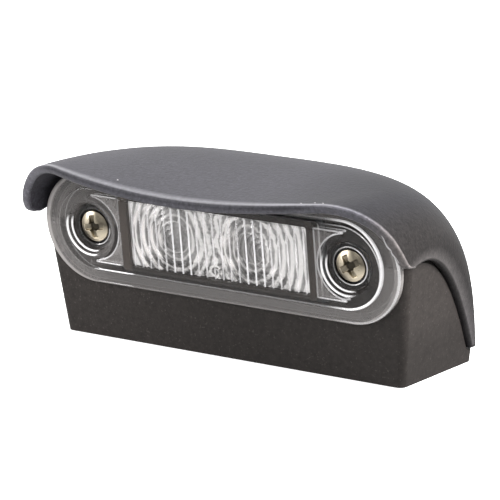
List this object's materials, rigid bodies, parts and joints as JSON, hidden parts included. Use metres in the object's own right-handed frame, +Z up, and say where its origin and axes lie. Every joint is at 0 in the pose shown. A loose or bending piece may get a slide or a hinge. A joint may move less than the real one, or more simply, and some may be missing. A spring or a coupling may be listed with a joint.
{
  "type": "number plate lamp",
  "caption": "Surface-mounted number plate lamp: a tapered plinth with a leaning front, a clear LED module held by two screws, and a thin visor hood over it.",
  "frame": {"origin": "centre of the plinth's flat underside, which is the mounting face", "axes": "+X along the lamp's width, -Y out of the lens towards the light's front, +Z up from the mounting face to the hood"},
  "size_m": [0.0892, 0.0451, 0.0381],
  "materials": {
    "plinth": "fine grained, warm black",
    "hood": "satin slate grey",
    "lens": "clear, polished",
    "gasket": "matte",
    "tray": "satin",
    "mask": "satin dark brown",
    "optic": "clear, polished",
    "board": "white solder mask",
    "light_source": "phosphor under clear resin",
    "chip": "matte",
    "ceramic_component": "fired",
    "terminal": "tinned",
    "resin": "cast",
    "grommet": "matte",
    "insert": "turned",
    "screw": "warm nickel plate"
  },
  "bodies": {
    "root": {"base_housing": "plinth", "floor_plate": "plinth", "hood": "hood", "lens_cover": "lens", "lens_gasket": "gasket", "module_tray": "tray", "mask_frame": "mask", "ring_optic": "optic", "circuit_board": "board", "led_left": "light_source", "led_right": "light_source", "driver_chip": "chip", "resistor_left": "ceramic_component", "resistor_right": "ceramic_component", "polarity_diode": "chip", "input_capacitor": "ceramic_component", "blade_terminals": "terminal", "potting_resin": "resin", "cable_grommet": "grommet", "insert_left": "insert", "insert_right": "insert", "screw_left": "screw", "screw_right": "screw"}
  },
  "joints": []
}
